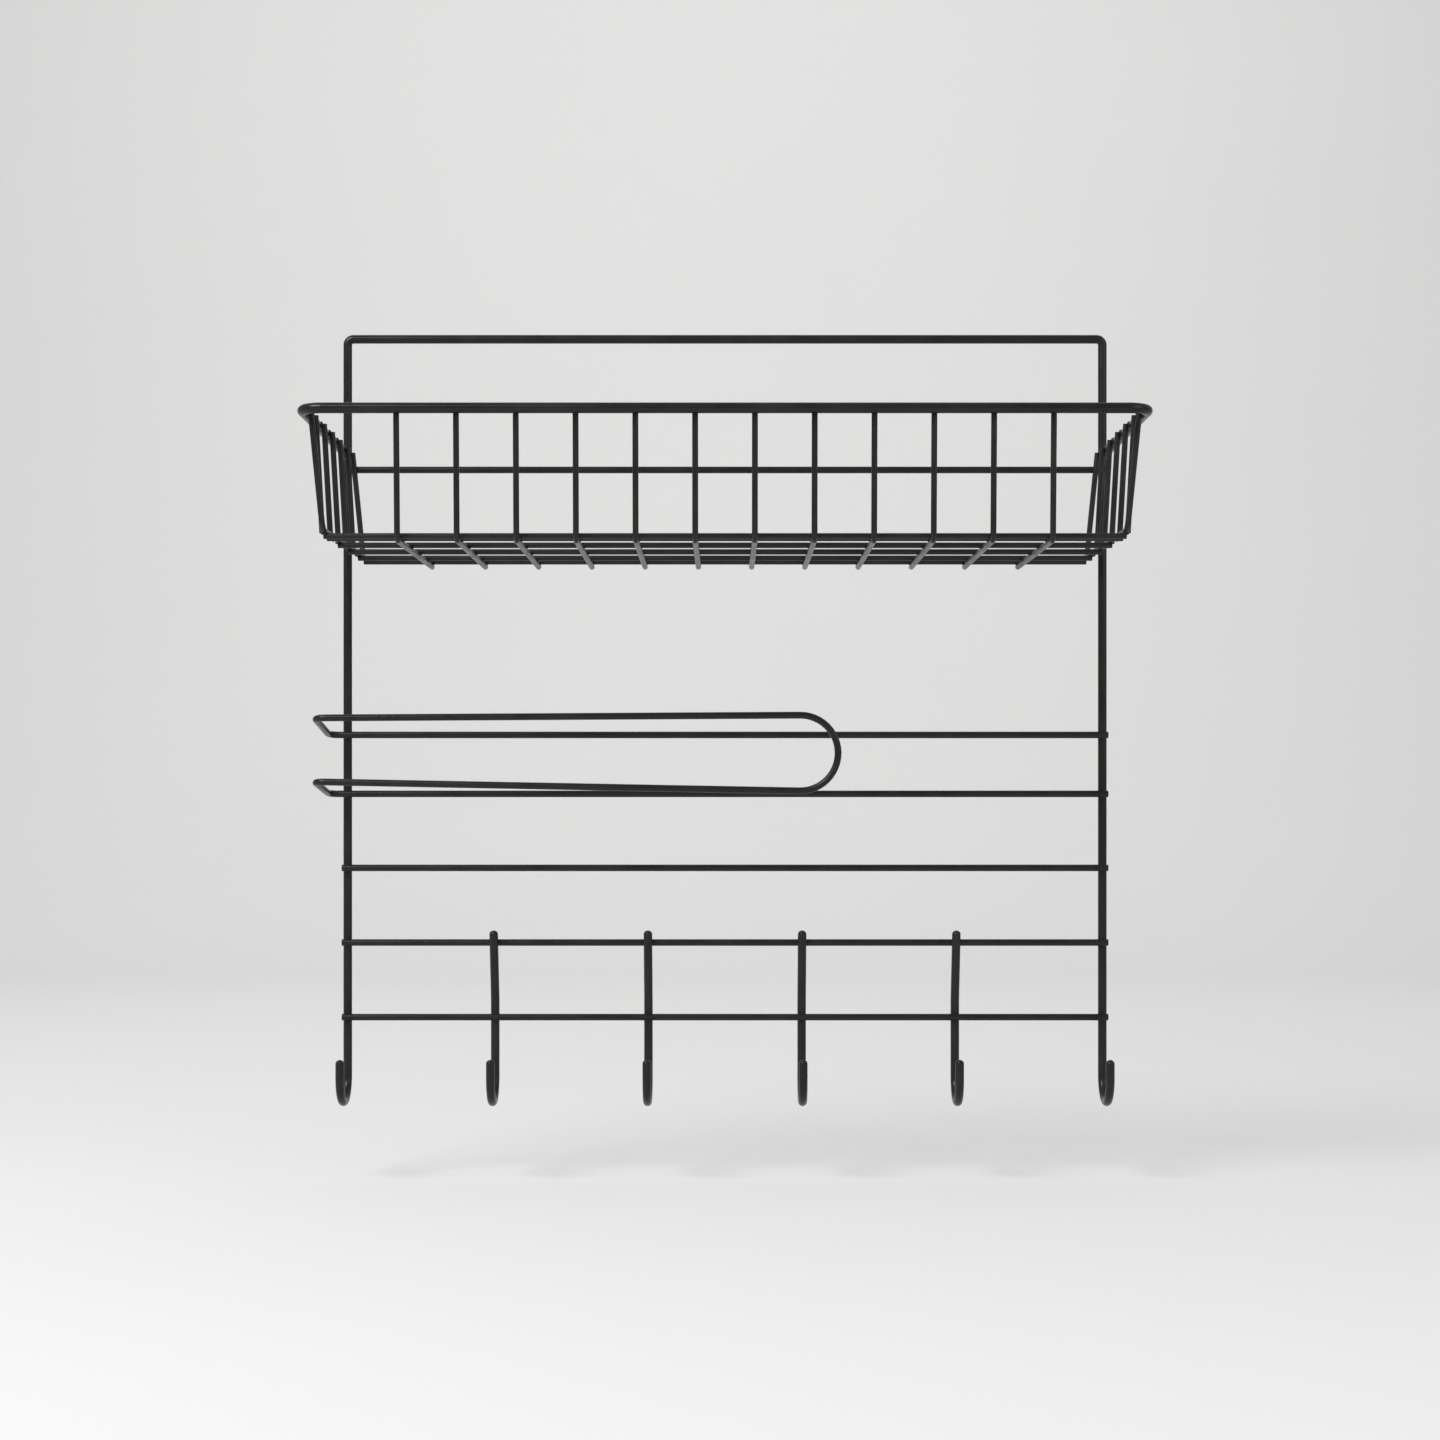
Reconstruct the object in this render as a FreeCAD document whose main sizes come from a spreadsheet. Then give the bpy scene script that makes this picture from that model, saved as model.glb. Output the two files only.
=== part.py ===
"""Wall-hung wire kitchen organizer: frame, basket, paper-roll holder and hooks.

Millimetres. +Z is up, the front faces -Y and the wall is on the +Y side. The origin is on the
top bar's axis, midway between the uprights. A "depth" is a distance in front of the uprights'
plane, so Y = -depth, and a "drop" is a distance below the top bar's axis, so Z = -drop.
"""
import FreeCAD, Part
import math
import os
import re

import Sketcher

Vector = FreeCAD.Vector

SIZES = {
    # Round wires
    "frame_wire": 4.5,
    "bar_wire": 3.5,
    "rim_wire": 5.0,
    "basket_wire": 2.8,
    "weld_sink": 0.3,
    # Frame and cross bars
    "frame_width": 400.0,
    "frame_bend": 3.0,
    "basket_bar_drop": 69.0,
    "middle_bar_drop": 277.0,
    "upper_hook_bar_drop": 316.0,
    "hook_bar_spacing": 39.0,
    # Hooks
    "hook_spacing": 80.3,
    "curl_radius": 13.5,
    "curl_drop": 384.6,
    "tip_rise": 9.4,
    "hook_top_rise": 6.4,
    "hook_lean_length": 30.0,
    "hook_bend": 15.0,
    # Paper-roll holder
    "holder_upper_bar_drop": 207.5,
    "holder_bar_spacing": 30.8,
    "holder_rise": 6.8,
    "holder_mouth": 32.2,
    "holder_lift": 1.5,
    "holder_loop": 38.6,
    "holder_depth": 50.0,
    "holder_overhang": 6.9,
    "holder_reach": 263.9,
    "holder_bend": 5.0,
    # Basket
    "rim_drop": 61.1,
    "rim_depth": 148.0,
    "rim_bend": 10.0,
    "basket_height": 55.4,
    "floor_rise": 2.0,
    "edge_lean": 5.6,
    "front_lean": 3.4,
    "basket_bend": 4.0,
    "floor_end_gap": 35.25,
    "back_rail_gap": 20.7,
    "front_rail_gap": 10.3,
    "wire_tail": 0.5,
}
FLOOR_WIRE_COUNT = 12
MIDDLE_RAIL_COUNT = 4
SIDE_WIRE_COUNT = 5
HOOK_COUNT = 4

# Sizes that follow from the ones above, so that every weld keeps its contact
UPRIGHT = "(frame_width - frame_wire) / 2"
BAR_DEPTH = "((frame_wire + bar_wire) / 2 - weld_sink)"
LOWER_HOOK_BAR_DROP = "(upper_hook_bar_drop + hook_bar_spacing)"
HOLDER_LOWER_BAR_DROP = "(holder_upper_bar_drop + holder_bar_spacing)"
RIM_CONTACT = "((rim_wire + basket_wire) / 2 - weld_sink)"
GRID_CONTACT = "(basket_wire - weld_sink)"
EDGE_DROP = "(rim_drop + basket_height)"
RAIL_DROP = f"({EDGE_DROP} + {GRID_CONTACT})"
FLOOR_DROP = f"({RAIL_DROP} + {GRID_CONTACT})"
WALL_TOP = "(basket_height + wire_tail)"
FRONT_TOP_DEPTH = f"(rim_depth - {RIM_CONTACT})"
FRONT_DEPTH = f"({FRONT_TOP_DEPTH} - front_lean)"
SIDE_TOP = f"({UPRIGHT} - {RIM_CONTACT})"
FLOOR_HALF = f"({SIDE_TOP} - edge_lean)"
FLOOR_PITCH = f"(2 * ({FLOOR_HALF} - floor_end_gap) / {FLOOR_WIRE_COUNT - 1})"
EDGE_BACK_DEPTH = f"({BAR_DEPTH} + (bar_wire + basket_wire) / 2 - weld_sink)"
EDGE_FRONT_DEPTH = "(rim_depth - rim_bend)"
FRONT_RAIL_DEPTH = f"({EDGE_FRONT_DEPTH} - basket_bend)"
FIRST_RAIL_DEPTH = f"({BAR_DEPTH} + back_rail_gap)"
RAIL_PITCH = (f"(({FRONT_RAIL_DEPTH} - front_rail_gap - {FIRST_RAIL_DEPTH})"
              f" / {MIDDLE_RAIL_COUNT - 1})")
SIDE_PITCH = f"({RAIL_PITCH} * {MIDDLE_RAIL_COUNT - 1} / {SIDE_WIRE_COUNT - 1})"
SIDE_LEAN = f"(edge_lean - {GRID_CONTACT})"

doc = FreeCAD.newDocument("wire_organizer")
sheet = doc.addObject("Spreadsheet::Sheet", "Sizes")
for row, (alias, size) in enumerate(SIZES.items(), start=1):
    sheet.set(f"A{row}", alias)
    sheet.set(f"B{row}", str(size))
    sheet.setAlias(f"B{row}", alias)
doc.recompute()

ALIAS = re.compile(r"\b(" + "|".join(SIZES) + r")\b")
nodes = []


def value(expression):
    """Return the number that an expression over the sheet's sizes gives."""
    return float(sheet.evalExpression(expression))


def bind(target, path, expression):
    """Drive one property of an object by an expression over the sheet's sizes."""
    target.setExpression(path, ALIAS.sub(r"Sizes.\1", expression))


def place(target, x="0", y="0", z="0", turn_axis=None, turn=None):
    """Drive an object's position, and its turn about one axis, from the sheet."""
    if turn_axis is not None:
        degrees = float(sheet.evalExpression(turn).Value) if "atan" in turn else value(turn)
        target.Placement = FreeCAD.Placement(Vector(), FreeCAD.Rotation(turn_axis, degrees))
        if "atan" in turn:
            bind(target, "Placement.Rotation.Angle", turn)
    for axis, expression in (("x", x), ("y", y), ("z", z)):
        if expression != "0":
            bind(target, f"Placement.Base.{axis}", expression)


def straight_wire(label, wire, length, x, y, z, turn_axis, turn):
    """Make a straight wire as a cylinder that starts at a point and is turned about one axis."""
    rod = doc.addObject("Part::Cylinder", label)
    rod.Label = label
    bind(rod, "Radius", f"{wire} / 2")
    bind(rod, "Height", length)
    place(rod, x, y, z, turn_axis, turn)
    nodes.append(rod)


def cross_wire(label, wire, half_length, depth, drop):
    """Make a straight wire that runs from side to side, centred on the object."""
    straight_wire(label, wire, f"2 * {half_length}", f"-1 * {half_length}", f"-1 * {depth}",
                  f"-1 * {drop}", Vector(0, 1, 0), "90")


def origin_plane(body, role):
    """Return one of a body's own origin planes."""
    return next(item for item in body.Origin.OriginFeatures if item.Role == role)


def new_sketch(body, name, role, offset):
    """Add a sketch to a body, parallel to one of its origin planes."""
    sketch = body.newObject("Sketcher::SketchObject", name)
    sketch.AttachmentSupport = [(origin_plane(body, role), "")]
    sketch.MapMode = "FlatFace"
    if offset != "0":
        bind(sketch, "AttachmentOffset.Base.z", offset)
    return sketch


def pin_point(sketch, geometry, point, name, x, y):
    """Hold a sketch point at a place that the sheet drives."""
    for kind, axis, expression in (("DistanceX", -2, x), ("DistanceY", -1, y)):
        if expression == "0":
            sketch.addConstraint(Sketcher.Constraint("PointOnObject", geometry, point, axis))
            continue
        distance = Sketcher.Constraint(kind, -1, 1, geometry, point, value(expression))
        index = sketch.addConstraint(distance)
        constraint_name = f"{name}_{kind[-1].lower()}"
        sketch.renameConstraint(index, constraint_name)
        bind(sketch, f"Constraints.{constraint_name}", expression)


def tangent_line(first, second):
    """Return the ends of the line that leaves one bend and enters the next.

    A bend is (centre, radius), with a positive radius for a left turn. A plain point has radius 0.
    """
    (centre_a, radius_a), (centre_b, radius_b) = first, second
    step = centre_b - centre_a
    heading = math.atan2(step.y, step.x) - math.asin((radius_b - radius_a) / step.Length)
    left = Vector(-math.sin(heading), math.cos(heading), 0)
    return centre_a - left * radius_a, centre_b - left * radius_b


def draw_path(sketch, start, bends, end):
    """Draw a wire's centre line: straight runs joined by tangent bends.

    start and end are (x, y), and each bend is (x, y, radius, turn) with turn +1 for left.
    """
    stations = [(Vector(value(start[0]), value(start[1])), 0.0)]
    for x, y, radius, turn in bends:
        stations.append((Vector(value(x), value(y)), turn * value(radius)))
    stations.append((Vector(value(end[0]), value(end[1])), 0.0))
    runs = [tangent_line(a, b) for a, b in zip(stations, stations[1:])]
    lines = [sketch.addGeometry(Part.LineSegment(a, b)) for a, b in runs]
    for index, (x, y, radius, turn) in enumerate(bends):
        centre = stations[index + 1][0]
        enter = runs[index][1] - centre
        leave = runs[index + 1][0] - centre
        angles = [math.atan2(side.y, side.x) for side in (enter, leave)]
        first, last = angles if turn > 0 else angles[::-1]
        circle = Part.Circle(centre, Vector(0, 0, 1), value(radius))
        arc = sketch.addGeometry(Part.ArcOfCircle(circle, first, last))
        enter_end, leave_end = (1, 2) if turn > 0 else (2, 1)
        sketch.addConstraint(Sketcher.Constraint("Tangent", lines[index], 2, arc, enter_end))
        sketch.addConstraint(Sketcher.Constraint("Tangent", arc, leave_end, lines[index + 1], 1))
        bend_radius = sketch.addConstraint(Sketcher.Constraint("Radius", arc, value(radius)))
        sketch.renameConstraint(bend_radius, f"bend_{index}")
        bind(sketch, f"Constraints.bend_{index}", radius)
        pin_point(sketch, arc, 3, f"bend_centre_{index}", x, y)
    pin_point(sketch, lines[0], 1, "start", *start)
    pin_point(sketch, lines[-1], 2, "end", *end)


def bent_wire(label, wire, path_plane, path, profile_plane, profile_offset, profile_centre):
    """Make a wire that is bent in one plane, as a pipe along a sketched path."""
    body = doc.addObject("PartDesign::Body", label)
    body.Label = label
    path_sketch = new_sketch(body, f"{label}_path", path_plane, "0")
    draw_path(path_sketch, *path)
    profile = new_sketch(body, f"{label}_section", profile_plane, profile_offset)
    centre = Vector(value(profile_centre[0]), value(profile_centre[1]))
    circle = profile.addGeometry(Part.Circle(centre, Vector(0, 0, 1), value(wire) / 2))
    width = profile.addConstraint(Sketcher.Constraint("Diameter", circle, value(wire)))
    profile.renameConstraint(width, "width")
    bind(profile, "Constraints.width", wire)
    pin_point(profile, circle, 3, "centre", *profile_centre)
    doc.recompute()
    pipe = body.newObject("PartDesign::AdditivePipe", f"{label}_pipe")
    pipe.Profile = profile
    pipe.Spine = (path_sketch, [f"Edge{i + 1}" for i in range(len(path_sketch.Shape.Edges))])
    doc.recompute()
    nodes.append(body)
    return body


def round_ends(body, radius):
    """Round both cut ends of a bent wire."""
    rims = []
    for index, edge in enumerate(body.Shape.Edges, start=1):
        faces = body.Shape.ancestorsOfType(edge, Part.Face)
        if any(isinstance(face.Surface, Part.Plane) for face in faces):
            rims.append(f"Edge{index}")
    pipe = body.Tip
    fillet = body.newObject("PartDesign::Fillet", f"{body.Label}_ends")
    fillet.Base = (pipe, rims)
    bind(fillet, "Radius", radius)
    body.Tip = fillet
    doc.recompute()


def path_wire(corners):
    """Return a path through corners given as (x, depth, drop, bend radius)."""
    points = [Vector(x, -depth, -drop) for x, depth, drop, _ in corners]
    edges = []
    pen = points[0]
    for index in range(1, len(points) - 1):
        corner = points[index]
        radius = corners[index][3]
        back = (points[index - 1] - corner).normalize()
        ahead = (points[index + 1] - corner).normalize()
        half_angle = back.getAngle(ahead) / 2
        reach = radius / math.tan(half_angle)
        middle = (back + ahead).normalize()
        centre = corner + middle * (radius / math.sin(half_angle))
        enter = corner + back * reach
        leave = corner + ahead * reach
        if (enter - pen).Length > 1e-6:
            edges.append(Part.LineSegment(pen, enter).toShape())
        edges.append(Part.Arc(enter, centre - middle * radius, leave).toShape())
        pen = leave
    edges.append(Part.LineSegment(pen, points[-1]).toShape())
    return Part.Wire(edges)


def swept_wire(label, wire, corners, start_axis, start_angle, tips=()):
    """Make a wire that is bent out of one plane, as a sweep, with round tips where asked."""
    path = doc.addObject("Part::Feature", f"{label}_path")
    path.Shape = path_wire(corners)
    ring = doc.addObject("Part::Circle", f"{label}_section")
    bind(ring, "Radius", f"{wire} / 2")
    x, depth, drop, _ = corners[0]
    ring.Placement = FreeCAD.Placement(Vector(x, -depth, -drop),
                                       FreeCAD.Rotation(start_axis, start_angle))
    sweep = doc.addObject("Part::Sweep", label)
    sweep.Sections = [ring]
    sweep.Spine = (path, [f"Edge{i + 1}" for i in range(len(path.Shape.Edges))])
    sweep.Solid = True
    sweep.Frenet = False
    if not tips:
        sweep.Label = label
        nodes.append(sweep)
        return
    sweep.Label = f"{label}_bare"
    balls = []
    for number, (tip_x, tip_depth, tip_drop) in enumerate(tips):
        ball = doc.addObject("Part::Sphere", f"{label}_tip_{number}")
        bind(ball, "Radius", f"{wire} / 2")
        ball.Placement.Base = Vector(tip_x, -tip_depth, -tip_drop)
        balls.append(ball)
    whole = doc.addObject("Part::MultiFuse", f"{label}_whole")
    whole.Shapes = [sweep] + balls
    whole.Refine = True
    whole.Label = label
    nodes.append(whole)


def make_frame():
    """Make the upside-down U whose two bottom ends curl forward into the outer hooks."""
    upright = value(UPRIGHT)
    curl = value("curl_radius")
    bottom = value("curl_drop + curl_radius")
    tip = value("curl_drop - tip_rise + frame_wire / 2")
    corner = value("frame_bend")
    left = [(-upright, 2 * curl, tip, 0), (-upright, 2 * curl, bottom, curl),
            (-upright, 0, bottom, curl), (-upright, 0, 0, corner)]
    right = [(-x, depth, drop, bend) for x, depth, drop, bend in reversed(left)]
    tips = [(side * upright, 2 * curl, tip) for side in (-1, 1)]
    swept_wire("frame_wire", "frame_wire", left + right, Vector(1, 0, 0), 0, tips)


def make_roll_holder():
    """Make the one wire that forms two cross bars and the loop that a paper roll slides on.

    The arms part slightly towards the round end.
    """
    end = value("frame_width / 2")
    depth = value(BAR_DEPTH)
    front = value("holder_depth")
    left = -value("frame_width / 2 + holder_overhang")
    reach = left + value("holder_reach")
    upper_bar = value("holder_upper_bar_drop")
    lower_bar = value(HOLDER_LOWER_BAR_DROP)
    upper_start = value("holder_upper_bar_drop - holder_rise")
    lower_start = value("holder_upper_bar_drop - holder_rise + holder_mouth")
    upper_end = value("holder_upper_bar_drop - holder_rise - holder_lift")
    lower_end = value("holder_upper_bar_drop - holder_rise - holder_lift + holder_loop")
    bend = value("holder_bend")
    slopes = [math.atan2(upper_start - upper_end, reach - left),
              math.atan2(lower_end - lower_start, reach - left)]
    turn = value("holder_loop") / sum(1 / math.tan((math.pi / 2 - slope) / 2) for slope in slopes)
    corners = [(end, depth, upper_bar, 0), (left, depth, upper_bar, bend),
               (left, front, upper_start, bend), (reach, front, upper_end, turn),
               (reach, front, lower_end, turn), (left, front, lower_start, bend),
               (left, depth, lower_bar, bend), (end, depth, lower_bar, 0)]
    swept_wire("paper_roll_holder", "bar_wire", corners, Vector(0, 1, 0), 90)


def make_bars():
    """Make the straight cross bars on the fronts of the uprights."""
    bars = {
        "basket_bar": "basket_bar_drop",
        "middle_bar": "middle_bar_drop",
        "upper_hook_bar": "upper_hook_bar_drop",
        "lower_hook_bar": LOWER_HOOK_BAR_DROP,
    }
    for label, drop in bars.items():
        cross_wire(label, "bar_wire", "(frame_width / 2)", BAR_DEPTH, drop)


def make_hooks():
    """Make the hooks that lean over the upper hook bar and pass behind the lower one."""
    lean = (f"(2 * {BAR_DEPTH} * hook_lean_length"
            f" / (hook_lean_length ^ 2 - {BAR_DEPTH} ^ 2))")
    vertex_drop = "(upper_hook_bar_drop + hook_lean_length)"
    top_drop = "(upper_hook_bar_drop - hook_top_rise)"
    tip_drop = "(curl_drop - tip_rise)"
    top_depth = f"({lean} * ({vertex_drop} - {top_drop}))"
    bend_drop = f"({vertex_drop} + hook_bend * {BAR_DEPTH} / hook_lean_length)"
    path = (("-2 * curl_radius", f"-1 * {tip_drop}"),
            [("-1 * curl_radius", "-1 * curl_drop", "curl_radius", 1),
             ("-1 * hook_bend", f"-1 * {bend_drop}", "hook_bend", 1)],
            (f"-1 * {top_depth}", f"-1 * {top_drop}"))
    for number in range(1, HOOK_COUNT + 1):
        steps = number - (HOOK_COUNT + 1) / 2
        hook = bent_wire(f"hook_{number}", "frame_wire", "YZ_Plane", path, "XY_Plane",
                         f"-1 * {tip_drop}", ("0", "-2 * curl_radius"))
        round_ends(hook, "frame_wire * 0.45")
        place(hook, x=f"{steps} * hook_spacing")


def make_rim():
    """Make the thick rim, its two ends set on the fronts of the uprights."""
    back = "(frame_wire / 2 - 2 * weld_sink)"
    corner_x = f"({UPRIGHT} - rim_bend)"
    corner_y = "-1 * (rim_depth - rim_bend)"
    path = ((f"-1 * {UPRIGHT}", f"-1 * {back}"),
            [(f"-1 * {corner_x}", corner_y, "rim_bend", 1),
             (corner_x, corner_y, "rim_bend", 1)],
            (UPRIGHT, f"-1 * {back}"))
    rim = bent_wire("basket_rim", "rim_wire", "XY_Plane", path, "XZ_Plane", back,
                    (f"-1 * {UPRIGHT}", "0"))
    place(rim, z="-1 * rim_drop")


def rise(depth):
    """Return how far the basket's floor has risen at a depth, counted from the front rail."""
    return f"(floor_rise * ({FRONT_RAIL_DEPTH} - {depth}) / {FRONT_RAIL_DEPTH})"


def make_floor_wires():
    """Make the wires that run under the rails and turn up the front to the rim."""
    back = f"({BAR_DEPTH} - basket_wire / 2 - wire_tail)"
    back_drop = f"({FLOOR_DROP} - {rise(back)})"
    bend_y = f"-1 * ({FRONT_DEPTH} - basket_bend)"
    path = ((f"-1 * {back}", f"-1 * {back_drop}"),
            [(bend_y, f"-1 * {FLOOR_DROP} + basket_bend", "basket_bend", -1)],
            (f"-1 * {FRONT_TOP_DEPTH}", f"-1 * {EDGE_DROP} + {WALL_TOP}"))
    for number in range(FLOOR_WIRE_COUNT):
        steps = number - (FLOOR_WIRE_COUNT - 1) / 2
        wire = bent_wire(f"floor_wire_{number + 1}", "basket_wire", "YZ_Plane", path, "XZ_Plane",
                         back, ("0", f"-1 * {back_drop}"))
        place(wire, x=f"{steps} * {FLOOR_PITCH}")


def make_side_walls():
    """Make each side's edge wire and the short uprights between it and the rim.

    The uprights stand evenly from the first middle rail to the last.
    """
    back_rise = rise(f"({EDGE_BACK_DEPTH} + basket_bend)")
    edge_length = f"(sqrt(edge_lean ^ 2 + basket_height ^ 2) * {WALL_TOP} / basket_height)"
    path = ((f"-1 * {EDGE_BACK_DEPTH}", edge_length),
            [(f"-1 * {EDGE_BACK_DEPTH} - basket_bend", f"basket_bend + {back_rise}", "basket_bend", -1),
             (f"-1 * {EDGE_FRONT_DEPTH} + basket_bend", "basket_bend", "basket_bend", -1)],
            (f"-1 * {EDGE_FRONT_DEPTH}", edge_length))
    side_slant = f"(sqrt({SIDE_LEAN} ^ 2 + basket_height ^ 2) / basket_height)"
    for side, sign in (("left", "-1"), ("right", "1")):
        edge = bent_wire(f"{side}_edge_wire", "basket_wire", "YZ_Plane", path, "XY_Plane",
                         edge_length, ("0", f"-1 * {EDGE_BACK_DEPTH}"))
        place(edge, f"{sign} * {FLOOR_HALF}", "0", f"-1 * {EDGE_DROP}",
              Vector(0, 1, 0), f"{sign} * atan(edge_lean / basket_height)")
        for number in range(SIDE_WIRE_COUNT):
            depth = f"({FIRST_RAIL_DEPTH} + {number} * {SIDE_PITCH})"
            foot = rise(depth)
            straight_wire(f"{side}_side_wire_{number + 1}", "basket_wire",
                          f"{side_slant} * ({WALL_TOP} - {foot})",
                          f"{sign} * ({FLOOR_HALF} + {GRID_CONTACT} + {SIDE_LEAN} * {foot} / basket_height)",
                          f"-1 * {depth}", f"-1 * {EDGE_DROP} + {foot}",
                          Vector(0, 1, 0), f"{sign} * atan({SIDE_LEAN} / basket_height)")


def make_rails():
    """Make the rails that run from side to side, over the floor wires and under the edge wires."""
    depths = {"back_rail": BAR_DEPTH}
    for number in range(MIDDLE_RAIL_COUNT):
        depths[f"middle_rail_{number + 1}"] = f"({FIRST_RAIL_DEPTH} + {number} * {RAIL_PITCH})"
    depths["front_rail"] = FRONT_RAIL_DEPTH
    for label, depth in depths.items():
        cross_wire(label, "basket_wire", FLOOR_HALF, depth, f"({RAIL_DROP} - {rise(depth)})")


def write_nodes():
    """Check every object and write each piece to its own file."""
    doc.recompute()
    for item in doc.Objects:
        if "Invalid" in item.State or "Error" in item.State:
            raise RuntimeError(f"{item.Label} did not recompute: {item.State}")
    os.makedirs("parts", exist_ok=True)
    for node in nodes:
        shape = node.Shape
        if shape.isNull() or not shape.isValid() or len(shape.Solids) != 1:
            raise RuntimeError(f"{node.Label} is not one valid solid")
        shape.exportStep(f"parts/{node.Label}.step")
        print(f"{node.Label}: {shape.Volume:.0f} mm3")


make_frame()
make_bars()
make_roll_holder()
make_hooks()
make_rim()
make_floor_wires()
make_side_walls()
make_rails()
write_nodes()
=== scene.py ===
import logging
import math
from dataclasses import dataclass
from enum import Enum
from typing import ClassVar

import bmesh
import bpy
from mathutils import Matrix, Vector, noise


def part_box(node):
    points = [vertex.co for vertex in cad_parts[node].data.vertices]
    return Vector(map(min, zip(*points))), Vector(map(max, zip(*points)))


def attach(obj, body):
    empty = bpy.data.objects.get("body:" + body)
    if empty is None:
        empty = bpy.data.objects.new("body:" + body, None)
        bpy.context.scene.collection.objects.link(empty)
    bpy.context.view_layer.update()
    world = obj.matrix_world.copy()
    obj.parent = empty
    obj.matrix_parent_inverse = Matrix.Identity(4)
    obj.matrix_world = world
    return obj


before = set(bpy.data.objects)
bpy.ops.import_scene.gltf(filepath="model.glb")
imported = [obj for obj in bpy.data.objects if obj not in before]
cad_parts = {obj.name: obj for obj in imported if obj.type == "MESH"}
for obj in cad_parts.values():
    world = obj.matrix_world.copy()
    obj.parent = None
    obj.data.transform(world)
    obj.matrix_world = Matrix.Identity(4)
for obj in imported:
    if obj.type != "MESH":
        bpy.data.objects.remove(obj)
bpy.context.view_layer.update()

MM = 0.001
UPWARD = Vector((0.0, 0.0, 1.0))
MIX_FIRST, MIX_SECOND, MIX_RESULT = 6, 7, 2
Colour = tuple[float, float, float]

log = logging.getLogger("wire_organizer")


def turn_to(direction: Vector) -> Matrix:
    """Return the rotation that takes +Z to a direction."""
    return UPWARD.rotation_difference(direction).to_matrix().to_4x4()


class Axis(Enum):
    """The direction in which one wire presses on another at a weld."""

    ACROSS = (1.0, 0.0, 0.0)
    DEPTH = (0.0, 1.0, 0.0)
    UP = (0.0, 0.0, 1.0)

    def turn(self) -> Matrix:
        """Return the rotation that takes +Z to this axis."""
        return turn_to(Vector(self.value))


class Slot(Enum):
    """The record's material slots."""

    FRAME = "frame_coat"
    BAR = "bar_coat"
    RIM = "rim_coat"
    BASKET = "basket_coat"


class Side(Enum):
    """The two sides of the organizer, with the sign of their X."""

    LEFT = -1
    RIGHT = 1


class NodeSheet:
    """A shader tree that nodes are added to and joined in."""

    def __init__(self, tree: bpy.types.NodeTree) -> None:
        """Keep the tree and empty it."""
        self.tree = tree
        self.tree.nodes.clear()

    def feed(self, socket: bpy.types.NodeSocket, setting: object) -> None:
        """Link an input to the socket given, or set it to the value given."""
        if isinstance(setting, bpy.types.NodeSocket):
            self.tree.links.new(setting, socket)
        else:
            socket.default_value = setting

    def add(self, kind: str, **inputs: object) -> bpy.types.Node:
        """Add a node and set its inputs.

        Args:
            kind: The node's type, such as ShaderNodeTexNoise.
            **inputs: Values by socket name, with underscores for spaces; a socket value is linked.

        Returns:
            The new node.
        """
        node = self.tree.nodes.new(kind)
        for name, setting in inputs.items():
            self.feed(node.inputs[name.replace("_", " ")], setting)
        return node

    def group(self, tree: bpy.types.NodeTree, **inputs: object) -> bpy.types.Node:
        """Add a node for a shader group and set its inputs.

        Args:
            tree: The group.
            **inputs: Values by socket name, with underscores for spaces; a socket value is linked.

        Returns:
            The new node.
        """
        node = self.tree.nodes.new("ShaderNodeGroup")
        node.node_tree = tree
        for name, setting in inputs.items():
            self.feed(node.inputs[name.replace("_", " ")], setting)
        return node

    def blend(self, factor: bpy.types.NodeSocket, first: object, second: object) -> bpy.types.NodeSocket:
        """Add a Mix node for two colours.

        Args:
            factor: The socket that holds the second colour's share.
            first: A colour, or the socket that feeds the first input.
            second: A colour, or the socket that feeds the second input.

        Returns:
            The socket that holds the result.
        """
        node = self.tree.nodes.new("ShaderNodeMix")
        node.data_type = "RGBA"
        self.feed(node.inputs["Factor"], factor)
        self.feed(node.inputs[MIX_FIRST], first)
        self.feed(node.inputs[MIX_SECOND], second)
        return node.outputs[MIX_RESULT]

    def maths(self, operation: str, first: object, second: object) -> bpy.types.NodeSocket:
        """Add a Math node.

        Args:
            operation: The Math node's operation.
            first: A number, or the socket that feeds the first input.
            second: A number, or the socket that feeds the second input.

        Returns:
            The socket that holds the result.
        """
        node = self.tree.nodes.new("ShaderNodeMath")
        node.operation = operation
        for socket, setting in zip(node.inputs, (first, second)):
            self.feed(socket, setting)
        return node.outputs[0]

    def join(self, source: bpy.types.NodeSocket, target: bpy.types.NodeSocket) -> None:
        """Link one socket to another."""
        self.tree.links.new(source, target)


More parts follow.
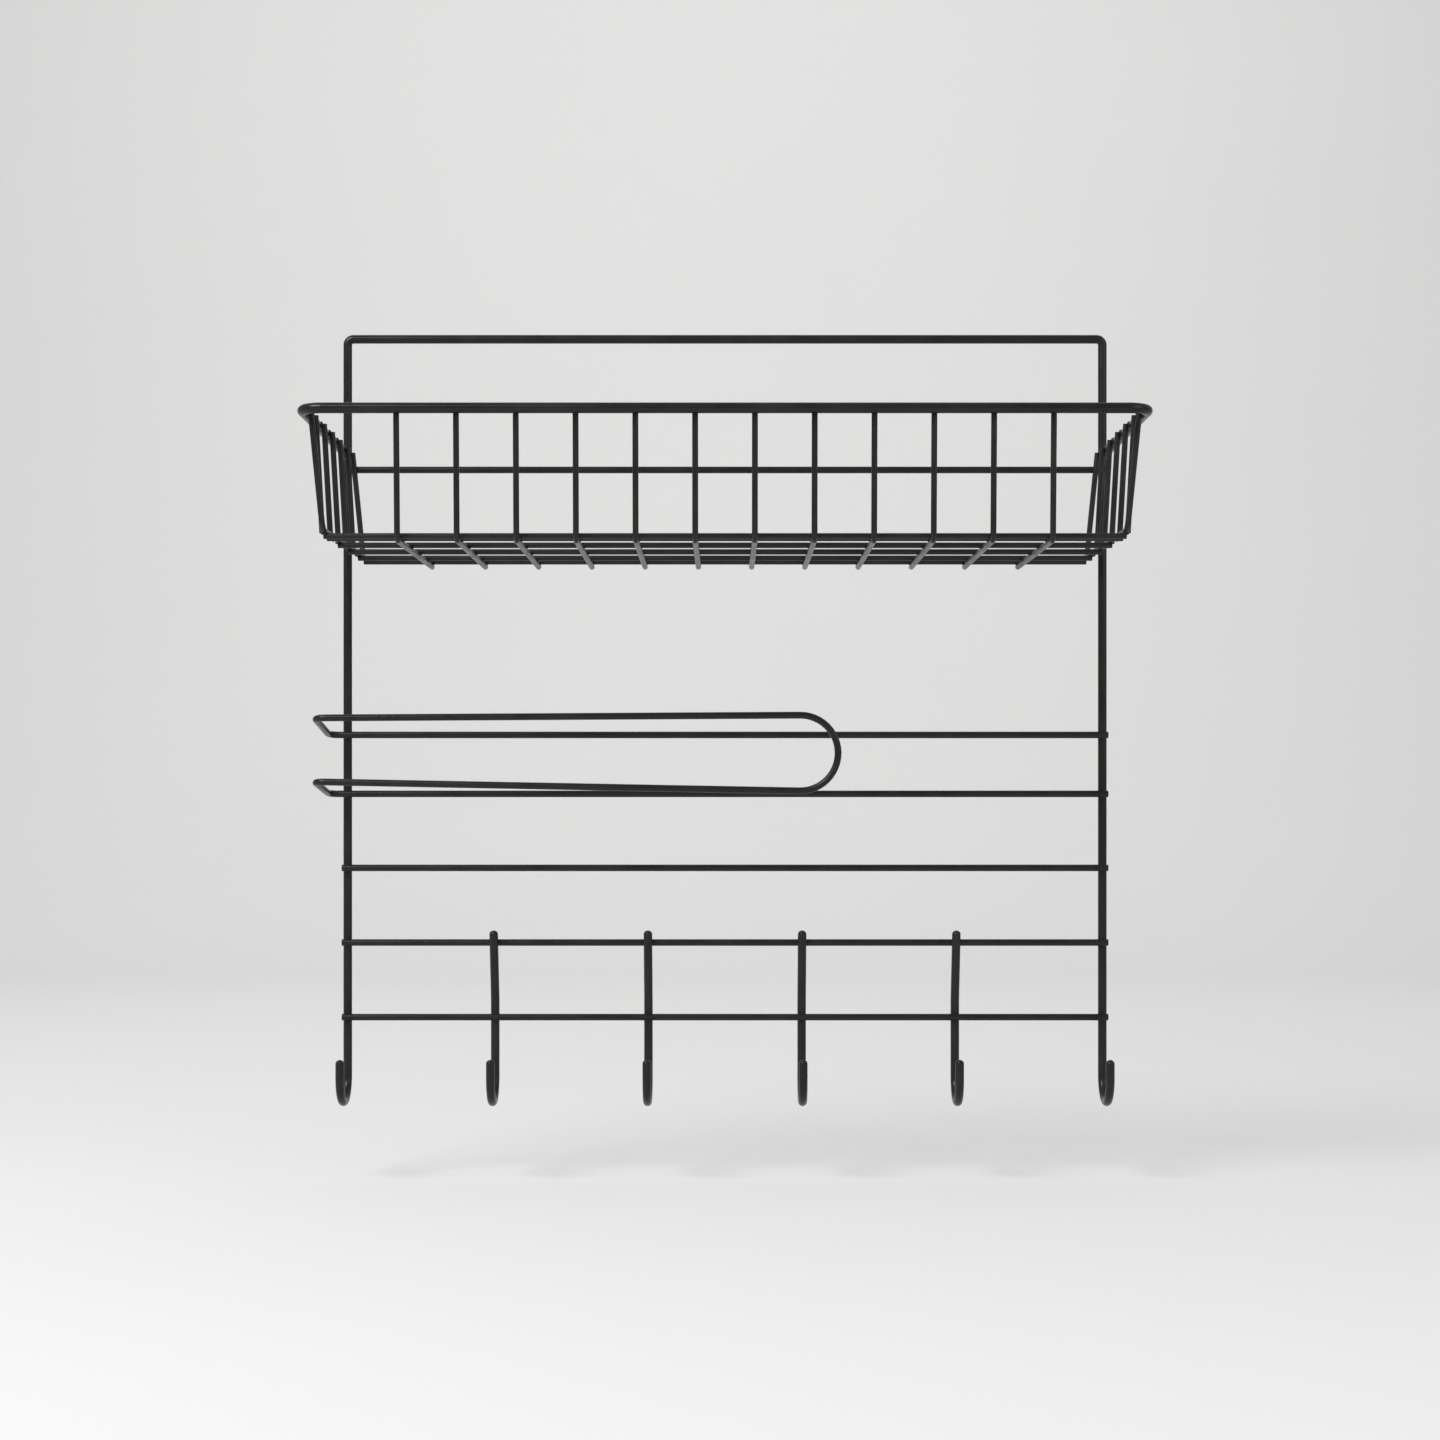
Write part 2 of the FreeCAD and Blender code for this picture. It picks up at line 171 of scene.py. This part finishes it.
class CoatEffects:
    """The shader groups that every coat on the organizer shares."""

    TONE_RANGE: ClassVar[tuple[float, float]] = (0.32, 0.68)
    GLOSS_RANGE: ClassVar[tuple[float, float]] = (0.3, 0.7)
    _made: ClassVar[dict[str, bpy.types.NodeTree]] = {}

    @classmethod
    def _start(cls, name: str, inputs: dict[str, str], outputs: dict[str, str]) -> NodeSheet:
        """Make an empty group with its sockets.

        Args:
            name: The group's name.
            inputs: Input names with their socket types.
            outputs: Output names with their socket types.

        Returns:
            The sheet of the new group.
        """
        tree = bpy.data.node_groups.new(name, "ShaderNodeTree")
        for title, kind in inputs.items():
            tree.interface.new_socket(title, in_out="INPUT", socket_type=kind)
        for title, kind in outputs.items():
            tree.interface.new_socket(title, in_out="OUTPUT", socket_type=kind)
        cls._made[name] = tree
        return NodeSheet(tree)

    @classmethod
    def peel(cls) -> bpy.types.NodeTree:
        """Return the group that gives the low waves and fine grain of a baked powder coat."""
        if "coat_peel" in cls._made:
            return cls._made["coat_peel"]
        number = "NodeSocketFloat"
        sheet = cls._start("coat_peel", {"Place": "NodeSocketVector", "Wave": number, "Grain": number,
                                         "Grain Share": number}, {"Height": number})
        start = sheet.add("NodeGroupInput")
        place = start.outputs["Place"]
        wave = sheet.add("ShaderNodeTexNoise", Vector=place, Scale=start.outputs["Wave"],
                         Detail=1.0, Roughness=0.4)
        grain = sheet.add("ShaderNodeTexNoise", Vector=place, Scale=start.outputs["Grain"],
                          Detail=2.0, Roughness=0.6)
        fine = sheet.maths("MULTIPLY", grain.outputs["Fac"], start.outputs["Grain Share"])
        finish = sheet.add("NodeGroupOutput")
        sheet.join(sheet.maths("ADD", wave.outputs["Fac"], fine), finish.inputs["Height"])
        return sheet.tree

    @classmethod
    def mottle(cls) -> bpy.types.NodeTree:
        """Return the group that drifts a coat's tone and gloss along the wires."""
        if "coat_mottle" in cls._made:
            return cls._made["coat_mottle"]
        number, colour = "NodeSocketFloat", "NodeSocketColor"
        sheet = cls._start("coat_mottle", {"Place": "NodeSocketVector", "Patch": number, "Deep": colour,
                                           "Worn": colour, "Glossy": number, "Dull": number},
                           {"Color": colour, "Roughness": number})
        start = sheet.add("NodeGroupInput")
        patch = sheet.add("ShaderNodeTexNoise", Vector=start.outputs["Place"],
                          Scale=start.outputs["Patch"], Detail=4.0, Roughness=0.55).outputs["Fac"]
        spread = sheet.add("ShaderNodeMapRange", Value=patch, From_Min=cls.TONE_RANGE[0],
                           From_Max=cls.TONE_RANGE[1])
        tone = sheet.blend(spread.outputs["Result"], start.outputs["Deep"], start.outputs["Worn"])
        gloss = sheet.add("ShaderNodeMapRange", Value=patch, From_Min=cls.GLOSS_RANGE[0],
                          From_Max=cls.GLOSS_RANGE[1], To_Min=start.outputs["Glossy"],
                          To_Max=start.outputs["Dull"])
        finish = sheet.add("NodeGroupOutput")
        sheet.join(tone, finish.inputs["Color"])
        sheet.join(gloss.outputs["Result"], finish.inputs["Roughness"])
        return sheet.tree


@dataclass(frozen=True)
class PowderCoat:
    """A satin black powder coat, as it lies on one kind of wire.

    Wave, grain and patch are in repeats per metre, and peel is the height of the waves in metres.
    """

    name: str
    slot: Slot
    deep: Colour = (0.0055, 0.0053, 0.0054)
    worn: Colour = (0.0130, 0.0121, 0.0112)
    glossy: float = 0.26
    dull: float = 0.38
    sheen: float = 0.30
    wave: float = 620.0
    grain: float = 2600.0
    grain_share: float = 0.35
    peel: float = 0.00006
    patch: float = 55.0

    def material(self) -> bpy.types.Material:
        """Return this coat's material, made on first use.

        Returns:
            The material with its tone, gloss and peel on Object coordinates.
        """
        found = bpy.data.materials.get(self.name)
        if found is not None:
            return found
        material = bpy.data.materials.new(self.name)
        material.use_nodes = True
        sheet = NodeSheet(material.node_tree)
        place = sheet.add("ShaderNodeTexCoord").outputs["Object"]
        mottle = sheet.group(CoatEffects.mottle(), Place=place, Patch=self.patch, Deep=(*self.deep, 1.0),
                             Worn=(*self.worn, 1.0), Glossy=self.glossy, Dull=self.dull)
        peel = sheet.group(CoatEffects.peel(), Place=place, Wave=self.wave, Grain=self.grain,
                           Grain_Share=self.grain_share)
        bump = sheet.add("ShaderNodeBump", Strength=1.0, Distance=self.peel,
                         Height=peel.outputs["Height"])
        shader = sheet.add("ShaderNodeBsdfPrincipled", Base_Color=mottle.outputs["Color"],
                           Roughness=mottle.outputs["Roughness"], Normal=bump.outputs["Normal"],
                           Specular_IOR_Level=self.sheen)
        sheet.join(shader.outputs["BSDF"], sheet.add("ShaderNodeOutputMaterial").inputs["Surface"])
        return material


FRAME_COAT = PowderCoat("frame_black_coat", Slot.FRAME)
BAR_COAT = PowderCoat("bar_black_coat", Slot.BAR, glossy=0.24, dull=0.36, wave=700.0)
RIM_COAT = PowderCoat("rim_black_coat", Slot.RIM, glossy=0.24, dull=0.35, wave=560.0)
BASKET_COAT = PowderCoat("basket_black_coat", Slot.BASKET, glossy=0.28, dull=0.40, wave=820.0,
                         peel=0.00005)
FRAME_WELD_COAT = PowderCoat("frame_weld_black_coat", Slot.FRAME, glossy=0.40, dull=0.58,
                             wave=1100.0, grain_share=0.7, peel=0.00012)
BASKET_WELD_COAT = PowderCoat("basket_weld_black_coat", Slot.BASKET, glossy=0.42, dull=0.60,
                              wave=1300.0, grain_share=0.7, peel=0.0001)
END_WORN: Colour = (0.020, 0.0190, 0.0180)
BAR_END_COAT = PowderCoat("bar_end_black_coat", Slot.BAR, worn=END_WORN, glossy=0.28, dull=0.44)
BASKET_END_COAT = PowderCoat("basket_end_black_coat", Slot.BASKET, worn=END_WORN, glossy=0.30,
                             dull=0.48)


@dataclass(frozen=True)
class Weld:
    """A bead where two wires cross: its place, the way they press together, its reach and thickness.

    Unevenness is the share by which the lump departs from round, lump_scale and seed_scale set the
    noise that shapes it, and softening is how far it is smoothed.
    """

    place: Vector
    normal: Axis
    reach: float
    thickness: float
    unevenness: float = 0.16
    lump_scale: float = 1.7
    seed_scale: float = 900.0
    softening: float = 0.35

    def model(self, bm: bmesh.types.BMesh) -> None:
        """Add the bead to a mesh as a flattened, slightly uneven lump.

        Args:
            bm: The mesh that takes the bead.
        """
        made = bmesh.ops.create_icosphere(bm, subdivisions=2, radius=1.0)["verts"]
        seed = self.place * self.seed_scale
        for vert in made:
            vert.co *= 1.0 + self.unevenness * noise.noise(vert.co * self.lump_scale + seed)
        bmesh.ops.smooth_vert(bm, verts=made, factor=self.softening, use_axis_x=True, use_axis_y=True,
                              use_axis_z=True)
        bmesh.ops.scale(bm, verts=made, vec=(self.reach, self.reach, self.thickness))
        stand = Matrix.Translation(self.place) @ self.normal.turn()
        bmesh.ops.transform(bm, verts=made, matrix=stand)


@dataclass(frozen=True)
class CutEnd:
    """The coat over a cut wire's end: the end's centre, the way it faces and the wire's radius.

    Fill is the coat's share of the wire's radius, and rounding the rounded share of its thickness.
    """

    place: Vector
    facing: Vector
    radius: float
    coat: float = 0.24 * MM
    fill: float = 0.985
    rounding: float = 0.95
    segments: int = 20
    round_segments: int = 3

    def model(self, bm: bmesh.types.BMesh) -> None:
        """Add the coat to a mesh as a thin round cushion, half of it inside the wire.

        Args:
            bm: The mesh that takes the coat.
        """
        reach = self.radius * self.fill
        made = bmesh.ops.create_cone(bm, cap_ends=True, segments=self.segments, radius1=reach,
                                     radius2=reach, depth=2.0 * self.coat)["verts"]
        rim = {edge for vert in made for edge in vert.link_edges
               if all(end.co.z > 0.0 for end in edge.verts)}
        bevelled = bmesh.ops.bevel(bm, geom=list(rim), affect="EDGES", profile=0.5, material=-1,
                                   offset=self.coat * self.rounding,
                                   segments=self.round_segments)["verts"]
        whole = {vert for vert in (*made, *bevelled) if vert.is_valid}
        stand = Matrix.Translation(self.place) @ turn_to(self.facing)
        bmesh.ops.transform(bm, verts=list(whole), matrix=stand)


def middle(node: str) -> Vector:
    """Return the centre of a CAD node's box."""
    low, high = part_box(node)
    return (low + high) / 2.0


def make_piece(name: str, features: list[Weld] | list[CutEnd], coat: PowderCoat) -> None:
    """Make one piece out of many small features, ready to ride with the organizer.

    Args:
        name: The piece's name.
        features: The welds or cut ends that it holds.
        coat: The coat that lies on them.
    """
    bm = bmesh.new()
    for feature in features:
        feature.model(bm)
    bmesh.ops.recalc_face_normals(bm, faces=bm.faces)
    for face in bm.faces:
        face.smooth = True
    mesh = bpy.data.meshes.new(name)
    bm.to_mesh(mesh)
    bm.free()
    mesh.materials.append(coat.material())
    piece = bpy.data.objects.new(name, mesh)
    bpy.context.scene.collection.objects.link(piece)
    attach(piece, "root")
    log.info("%s: %d features, %d faces", name, len(features), len(mesh.polygons))


def dress(nodes: list[str], coat: PowderCoat) -> None:
    """Give CAD nodes their coat.

    Args:
        nodes: The nodes' names.
        coat: The coat that lies on them.
    """
    for node in nodes:
        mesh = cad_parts[node].data
        mesh.materials.clear()
        mesh.materials.append(coat.material())
        log.info("%s: %s", node, coat.name)


@dataclass
class WallFrame:
    """The bent frame wire, the straight cross bars on its front and the paper-roll holder."""

    frame_radius: float = 2.25 * MM
    bar_radius: float = 1.75 * MM
    sink: float = 0.3 * MM
    holder_drops: tuple[float, ...] = (207.5 * MM, 238.3 * MM)
    bead_reach: float = 2.5 * MM
    bead_thickness: float = 1.1 * MM
    bars: tuple[str, ...] = ("basket_bar", "middle_bar", "upper_hook_bar", "lower_hook_bar")
    holder: str = "paper_roll_holder"

    def bar_heights(self) -> list[float]:
        """Return the Z of every wire that crosses the uprights, the holder's two included.

        Returns:
            The heights in metres.
        """
        return [middle(bar).z for bar in self.bars] + [-drop for drop in self.holder_drops]

    def upright_x(self) -> float:
        """Return the X of the right upright's centre line."""
        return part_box("basket_bar")[1].x - self.frame_radius

    def welds(self) -> list[Weld]:
        """Return the welds of the cross bars on the uprights.

        Returns:
            One weld for each crossing.
        """
        depth = -(self.frame_radius - self.sink / 2.0)
        return [Weld(Vector((side.value * self.upright_x(), depth, height)), Axis.DEPTH,
                     self.bead_reach, self.bead_thickness)
                for height in self.bar_heights() for side in Side]

    def ends(self) -> list[CutEnd]:
        """Return the cut ends of the bars and of the holder's two rear runs.

        Returns:
            One end for each cut.
        """
        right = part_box("basket_bar")[1].x
        depth = middle("basket_bar").y
        cuts = []
        for place, height in enumerate(self.bar_heights()):
            sides = list(Side) if place < len(self.bars) else [Side.RIGHT]
            for side in sides:
                cuts.append(CutEnd(Vector((side.value * right, depth, height)),
                                   Vector((side.value, 0.0, 0.0)), self.bar_radius))
        return cuts

    def build(self) -> None:
        """Dress the wires, then add the welds and the coated ends."""
        dress(["frame_wire"], FRAME_COAT)
        dress([*self.bars, self.holder], BAR_COAT)
        make_piece("frame_weld_beads", self.welds(), FRAME_WELD_COAT)
        make_piece("bar_end_coats", self.ends(), BAR_END_COAT)


@dataclass
class HookRow:
    """The four hooks between the frame's own two, welded to both hook bars."""

    hook_radius: float = 2.25 * MM
    bar_radius: float = 1.75 * MM
    sink: float = 0.3 * MM
    bead_reach: float = 2.5 * MM
    bead_thickness: float = 1.1 * MM
    hooks: tuple[str, ...] = ("hook_1", "hook_2", "hook_3", "hook_4")

    def welds(self) -> list[Weld]:
        """Return the welds on the front of the upper bar and on the back of the lower one.

        Returns:
            Two welds for each hook.
        """
        upper, lower = middle("upper_hook_bar"), middle("lower_hook_bar")
        behind = -(self.hook_radius - self.sink / 2.0)
        ahead = upper.y - self.bar_radius + self.sink / 2.0
        beads = []
        for hook in self.hooks:
            across = middle(hook).x
            for depth, height in ((ahead, upper.z), (behind, lower.z)):
                beads.append(Weld(Vector((across, depth, height)), Axis.DEPTH, self.bead_reach,
                                  self.bead_thickness))
        return beads

    def build(self) -> None:
        """Dress the hooks and add their welds."""
        dress(list(self.hooks), FRAME_COAT)
        make_piece("hook_weld_beads", self.welds(), FRAME_WELD_COAT)


@dataclass
class Basket:
    """The basket: its thick rim, the floor and front wires, the side walls and the rails."""

    rim_radius: float = 2.5 * MM
    wire_radius: float = 1.4 * MM
    sink: float = 0.3 * MM
    edge_lean: float = 5.6 * MM
    wall_height: float = 55.4 * MM
    rim_bead_reach: float = 2.0 * MM
    rim_end_reach: float = 2.325 * MM
    rim_end_thickness: float = 1.5 * MM
    bead_reach: float = 1.75 * MM
    bead_thickness: float = 0.85 * MM
    floor_count: int = 12
    side_count: int = 5
    rails: tuple[str, ...] = ("back_rail", "middle_rail_1", "middle_rail_2", "middle_rail_3",
                              "middle_rail_4", "front_rail")

    def floor_wires(self) -> list[str]:
        """Return the names of the wires along the floor and up the front."""
        return [f"floor_wire_{number}" for number in range(1, self.floor_count + 1)]

    def side_wires(self, side: Side) -> list[str]:
        """Return the names of one side's short uprights."""
        return [f"{side.name.lower()}_side_wire_{number}" for number in range(1, self.side_count + 1)]

    def edge_wire(self, side: Side) -> str:
        """Return the name of one side's edge wire."""
        return f"{side.name.lower()}_edge_wire"

    def floor_edge(self, side: Side) -> float:
        """Return the X of an edge wire's run along the floor."""
        low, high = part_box(self.edge_wire(side))
        return (low.x if side is Side.RIGHT else high.x) + side.value * self.wire_radius

    def floor_welds(self) -> list[Weld]:
        """Return the welds of the floor wires under the rails and of the edge wires on their ends.

        Returns:
            One weld for each crossing.
        """
        beads = []
        for rail in self.rails:
            low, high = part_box(rail)
            crossings = [(middle(wire).x, low.z + self.sink / 2.0) for wire in self.floor_wires()]
            if rail != "back_rail":
                crossings += [(self.floor_edge(side), high.z - self.sink / 2.0) for side in Side]
            beads += [Weld(Vector((across, (low.y + high.y) / 2.0, height)), Axis.UP, self.bead_reach,
                           self.bead_thickness) for across, height in crossings]
        return beads

    def rim_welds(self) -> list[Weld]:
        """Return the welds inside the rim, and those of its ends on the uprights.

        Returns:
            One weld for each wire that meets the rim.
        """
        low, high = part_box("basket_rim")
        height = (low.z + high.z) / 2.0
        inside = low.y + 2.0 * self.rim_radius - self.sink / 2.0
        beads = [Weld(Vector((middle(wire).x, inside, height)), Axis.DEPTH, self.rim_bead_reach,
                      self.bead_thickness) for wire in self.floor_wires()]
        for side in Side:
            across = side.value * (high.x - 2.0 * self.rim_radius + self.sink / 2.0)
            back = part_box(self.edge_wire(side))[1].y - self.wire_radius
            depths = [middle(wire).y for wire in self.side_wires(side)] + [back]
            beads += [Weld(Vector((across, depth, height)), Axis.ACROSS, self.rim_bead_reach,
                           self.bead_thickness) for depth in depths]
            end = Vector((side.value * (high.x - self.rim_radius), high.y, height))
            beads.append(Weld(end, Axis.DEPTH, self.rim_end_reach, self.rim_end_thickness))
        return beads

    def side_welds(self) -> list[Weld]:
        """Return the welds at the feet of the side walls and of the edge wires on the basket bar.

        Returns:
            One weld for each foot, and one for each edge wire.
        """
        bar_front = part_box("basket_bar")[0].y + self.sink / 2.0
        bar_height = middle("basket_bar").z
        beads = []
        for side in Side:
            foot = self.floor_edge(side) + side.value * (self.wire_radius - self.sink / 2.0)
            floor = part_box(self.edge_wire(side))[0].z + self.wire_radius
            for wire in self.side_wires(side):
                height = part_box(wire)[0].z
                across = foot + side.value * self.edge_lean * (height - floor) / self.wall_height
                beads.append(Weld(Vector((across, middle(wire).y, height)), Axis.ACROSS, self.bead_reach,
                                  self.bead_thickness))
            rise = bar_height - floor
            across = self.floor_edge(side) + side.value * self.edge_lean * rise / self.wall_height
            beads.append(Weld(Vector((across, bar_front, bar_height)), Axis.DEPTH, self.bead_reach,
                              self.bead_thickness))
        return beads

    def ends(self) -> list[CutEnd]:
        """Return the cut ends of the basket's wires.

        Returns:
            One end for each cut.
        """
        cuts = []
        for rail in self.rails:
            low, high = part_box(rail)
            centre = (low + high) / 2.0
            for across, facing in ((low.x, -1.0), (high.x, 1.0)):
                cuts.append(CutEnd(Vector((across, centre.y, centre.z)), Vector((facing, 0.0, 0.0)),
                                   self.wire_radius))
        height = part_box("back_rail")[0].z + self.sink - self.wire_radius
        for wire in self.floor_wires():
            low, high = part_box(wire)
            across = (low.x + high.x) / 2.0
            cuts.append(CutEnd(Vector((across, high.y, height)), Vector((0.0, 1.0, 0.0)),
                               self.wire_radius))
        return cuts

    def build(self) -> None:
        """Dress the wires, then add the welds and the coated ends."""
        dress(["basket_rim"], RIM_COAT)
        sides = [wire for side in Side for wire in (self.edge_wire(side), *self.side_wires(side))]
        dress([*self.floor_wires(), *sides, *self.rails], BASKET_COAT)
        make_piece("basket_floor_weld_beads", self.floor_welds(), BASKET_WELD_COAT)
        make_piece("basket_rim_weld_beads", self.rim_welds(), BASKET_WELD_COAT)
        make_piece("basket_side_weld_beads", self.side_welds(), BASKET_WELD_COAT)
        make_piece("basket_end_coats", self.ends(), BASKET_END_COAT)


@dataclass(frozen=True)
class SoftBox:
    """A soft studio lamp: where it stands, its width and height in metres and its power in watts."""

    name: str
    place: tuple[float, float, float]
    width: float
    height: float
    power: float
    aim: tuple[float, float, float] = (0.0, -0.05, -0.2)

    def build(self) -> None:
        """Set the lamp up, facing its aim."""
        lamp = bpy.data.lights.new(self.name, "AREA")
        lamp.shape = "RECTANGLE"
        lamp.size = self.width
        lamp.size_y = self.height
        lamp.energy = self.power
        holder = bpy.data.objects.new(self.name, lamp)
        holder.location = self.place
        facing = Vector(self.aim) - Vector(self.place)
        holder.rotation_euler = facing.to_track_quat("-Z", "Y").to_euler()
        bpy.context.scene.collection.objects.link(holder)


@dataclass
class Studio:
    """The pale floor with its sweep, the soft lamps, the world and the camera."""

    floor_height: float = -0.440
    floor_front: float = -30.0
    sweep_start: float = 1.8
    sweep_radius: float = 1.2
    sweep_top: float = 2.5
    sweep_steps: int = 24
    half_width: float = 30.0
    join_distance: float = 1e-5
    pale: Colour = (0.84, 0.84, 0.835)
    fleck_shade: float = 0.985
    fleck_scale: float = 3.0
    paper_roughness: float = 0.9
    ambient: float = 0.43
    camera_distance: float = 1.3
    camera_height: float = -0.2572
    lens: float = 62.0
    sensor: float = 36.0
    shift: tuple[float, float] = (-0.0035, 0.0764)
    lamps: tuple[SoftBox, ...] = (
        SoftBox("key_lamp", (-1.15, -1.35, 1.25), 1.2, 0.7, 38.0),
        SoftBox("fill_lamp", (1.5, -1.3, 0.6), 1.2, 1.2, 7.0),
        SoftBox("sweep_lamp", (0.0, 1.0, 1.7), 2.4, 1.2, 16.0, (0.0, 3.0, 0.2)),
    )

    def floor_material(self) -> bpy.types.Material:
        """Return the pale, faintly uneven paper of the floor."""
        material = bpy.data.materials.new("studio_paper")
        material.use_nodes = True
        sheet = NodeSheet(material.node_tree)
        place = sheet.add("ShaderNodeTexCoord").outputs["Object"]
        fleck = sheet.add("ShaderNodeTexNoise", Vector=place, Scale=self.fleck_scale, Detail=2.0)
        dim = tuple(shade * self.fleck_shade for shade in self.pale)
        tone = sheet.blend(fleck.outputs["Fac"], (*self.pale, 1.0), (*dim, 1.0))
        shader = sheet.add("ShaderNodeBsdfPrincipled", Base_Color=tone, Roughness=self.paper_roughness)
        sheet.join(shader.outputs["BSDF"], sheet.add("ShaderNodeOutputMaterial").inputs["Surface"])
        return material

    def build_floor(self) -> None:
        """Make the floor as one sheet that sweeps up behind the organizer."""
        bm = bmesh.new()
        left = bm.verts.new((-self.half_width, self.floor_front, self.floor_height))
        right = bm.verts.new((self.half_width, self.floor_front, self.floor_height))
        edge = [bm.edges.new((left, right))]
        grown = bmesh.ops.extrude_edge_only(bm, edges=edge)["geom"]
        back = [item for item in grown if isinstance(item, bmesh.types.BMVert)]
        bmesh.ops.translate(bm, verts=back, vec=(0.0, self.sweep_start - self.floor_front, 0.0))
        edge = [item for item in grown if isinstance(item, bmesh.types.BMEdge)
                and all(end in back for end in item.verts)]
        centre = (0.0, self.sweep_start, self.floor_height + self.sweep_radius)
        spun = bmesh.ops.spin(bm, geom=[*edge, *back], cent=centre, axis=(1.0, 0.0, 0.0),
                              angle=math.pi / 2.0, steps=self.sweep_steps)["geom_last"]
        edge = [item for item in spun if isinstance(item, bmesh.types.BMEdge)]
        grown = bmesh.ops.extrude_edge_only(bm, edges=edge)["geom"]
        top = [item for item in grown if isinstance(item, bmesh.types.BMVert)]
        bmesh.ops.translate(bm, verts=top, vec=(0.0, 0.0, self.sweep_top))
        bmesh.ops.remove_doubles(bm, verts=bm.verts, dist=self.join_distance)
        bmesh.ops.recalc_face_normals(bm, faces=bm.faces)
        for face in bm.faces:
            face.smooth = True
        mesh = bpy.data.meshes.new("studio_floor")
        bm.to_mesh(mesh)
        bm.free()
        mesh.materials.append(self.floor_material())
        floor = bpy.data.objects.new("studio_floor", mesh)
        bpy.context.scene.collection.objects.link(floor)

    def build_world(self) -> None:
        """Make the world, one even pale light all round that is seen in the floor's own tone."""
        world = bpy.data.worlds.new("studio_world")
        world.use_nodes = True
        bpy.context.scene.world = world
        sheet = NodeSheet(world.node_tree)
        seen = sheet.add("ShaderNodeLightPath").outputs["Is Camera Ray"]
        dimming = sheet.maths("MULTIPLY", seen, self.ambient * (1.0 - self.pale[0]))
        strength = sheet.maths("SUBTRACT", self.ambient, dimming)
        light = sheet.add("ShaderNodeBackground", Color=(1.0, 1.0, 1.0, 1.0), Strength=strength)
        finish = sheet.add("ShaderNodeOutputWorld")
        sheet.join(light.outputs["Background"], finish.inputs["Surface"])

    def build_camera(self) -> None:
        """Set the camera square to the frame, at the photograph's height."""
        lens = bpy.data.cameras.new("camera")
        lens.lens = self.lens
        lens.sensor_width = self.sensor
        lens.shift_x, lens.shift_y = self.shift
        camera = bpy.data.objects.new("camera", lens)
        camera.location = (0.0, -self.camera_distance, self.camera_height)
        camera.rotation_euler = (math.pi / 2.0, 0.0, 0.0)
        bpy.context.scene.collection.objects.link(camera)
        bpy.context.scene.camera = camera

    def build(self) -> None:
        """Build the stage, the lamps, the world and the camera."""
        bpy.context.scene.view_settings.view_transform = "Standard"
        self.build_floor()
        for lamp in self.lamps:
            lamp.build()
        self.build_world()
        self.build_camera()
        log.info("studio: %d lamps", len(self.lamps))


def main() -> None:
    """Dress each sub-assembly in turn, then set it in the studio."""
    logging.basicConfig(level=logging.INFO, format="%(name)s: %(message)s")
    for assembly in (WallFrame(), HookRow(), Basket(), Studio()):
        log.info("building %s", type(assembly).__name__)
        assembly.build()


if __name__ == "__main__":
    main()
